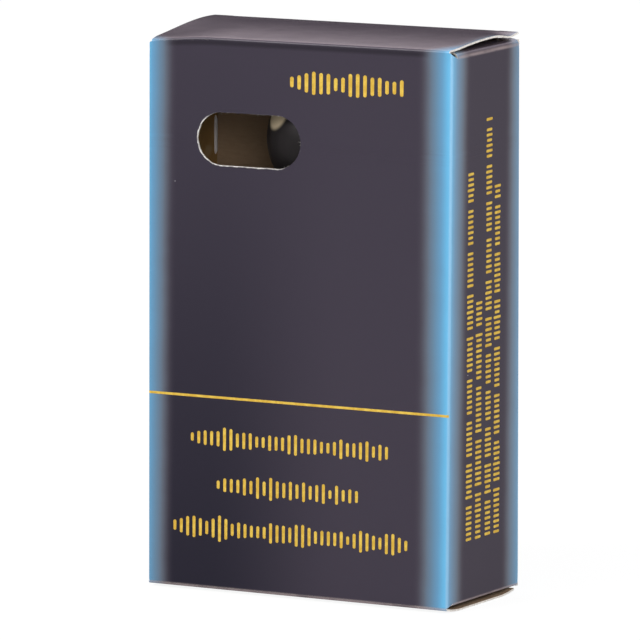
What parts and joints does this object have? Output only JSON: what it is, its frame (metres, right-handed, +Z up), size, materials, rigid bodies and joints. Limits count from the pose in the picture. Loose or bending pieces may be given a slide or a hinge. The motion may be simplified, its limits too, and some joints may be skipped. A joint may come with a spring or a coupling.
{
  "type": "boxed ear plugs",
  "caption": "Upright windowed tuck-end carton of foam ear plugs, with hinged lid, dust and tuck flaps, a domed screw-cap carry case inside and stacked plugs",
  "frame": {"origin": "on the surface the carton stands on, under the middle of its bounding box", "axes": "+Z up, the front panel with the window faces -Y, +X to the right of the front"},
  "size_m": [0.062, 0.0262, 0.1027],
  "materials": {
    "printed_board": "satin print over grey-brown board, sky blue along the upright folds",
    "bare_board": "unprinted grey-brown back of the board",
    "case_black": "glossy black",
    "cap_black": "glossy black",
    "seal": "matte",
    "plug_foam": "matte slow-recovery foam with a fine skin",
    "leaflet_paper": "matte uncoated"
  },
  "bodies": {
    "carton": {"front_panel": "printed_board", "right_panel": "printed_board", "back_panel": "printed_board", "left_panel": "printed_board", "glue_flap": "bare_board", "case_tube": "case_black", "ear_plug_1": "plug_foam", "ear_plug_2": "plug_foam", "ear_plug_3": "plug_foam", "ear_plug_4": "plug_foam", "leaflet": "leaflet_paper"},
    "lid": {"lid_panel": "printed_board"},
    "lid_tuck": {"lid_tuck_flap": "printed_board"},
    "top_flap_right": {"top_dust_flap_right": "printed_board"},
    "top_flap_left": {"top_dust_flap_left": "printed_board"},
    "bottom": {"bottom_panel": "printed_board"},
    "bottom_tuck": {"bottom_tuck_flap": "printed_board"},
    "bottom_flap_right": {"bottom_dust_flap_right": "printed_board"},
    "bottom_flap_left": {"bottom_dust_flap_left": "printed_board"},
    "seal": {"cap_seal": "seal"},
    "cap": {"case_cap": "cap_black"}
  },
  "joints": [
    {"name": "lid_open", "type": "hinge", "parent": "carton", "child": "lid", "pos_m": [0, -0.0131, 0.10169], "axis": [1, 0, 0], "range_deg": [0, 200]},
    {"name": "lid_tuck_flex", "type": "hinge", "parent": "lid", "child": "lid_tuck", "pos_m": [0, 0.01225, 0.10169], "axis": [1, 0, 0], "range_deg": [0, 8], "stiffness_Nm_per_rad": 0.0005},
    {"name": "top_flap_right_open", "type": "hinge", "parent": "carton", "child": "top_flap_right", "pos_m": [0.031, 0, 0.10039], "axis": [0, 1, 0], "range_deg": [0, 100]},
    {"name": "top_flap_left_open", "type": "hinge", "parent": "carton", "child": "top_flap_left", "pos_m": [-0.031, 0, 0.10039], "axis": [0, -1, 0], "range_deg": [0, 100]},
    {"name": "bottom_open", "type": "hinge", "parent": "carton", "child": "bottom", "pos_m": [0, -0.0131, 0.0006], "axis": [-1, 0, 0], "range_deg": [0, 200]},
    {"name": "bottom_tuck_flex", "type": "hinge", "parent": "bottom", "child": "bottom_tuck", "pos_m": [0, 0.01225, 0.0006], "axis": [-1, 0, 0], "range_deg": [0, 8], "stiffness_Nm_per_rad": 0.0005},
    {"name": "bottom_flap_right_open", "type": "hinge", "parent": "carton", "child": "bottom_flap_right", "pos_m": [0.031, 0, 0.00125], "axis": [0, -1, 0], "range_deg": [0, 100]},
    {"name": "bottom_flap_left_open", "type": "hinge", "parent": "carton", "child": "bottom_flap_left", "pos_m": [-0.031, 0, 0.00125], "axis": [0, 1, 0], "range_deg": [0, 100]},
    {"name": "cap_lift", "type": "slide", "parent": "carton", "child": "seal", "axis": [0, 0, 1], "range_m": [0, 0.002]},
    {"name": "cap_turn", "type": "hinge", "parent": "seal", "child": "cap", "pos_m": [0, 0, 0.08314], "axis": [0, 0, 1], "range_deg": [0, 360]}
  ],
  "couplings": [
    {"joint": "top_flap_right_open", "follows": "lid_open", "ratio": 0.5},
    {"joint": "top_flap_left_open", "follows": "lid_open", "ratio": 0.5},
    {"joint": "bottom_flap_right_open", "follows": "bottom_open", "ratio": 0.5},
    {"joint": "bottom_flap_left_open", "follows": "bottom_open", "ratio": 0.5},
    {"joint": "cap_lift", "follows": "cap_turn", "m_per_rad": 0.000318}
  ]
}
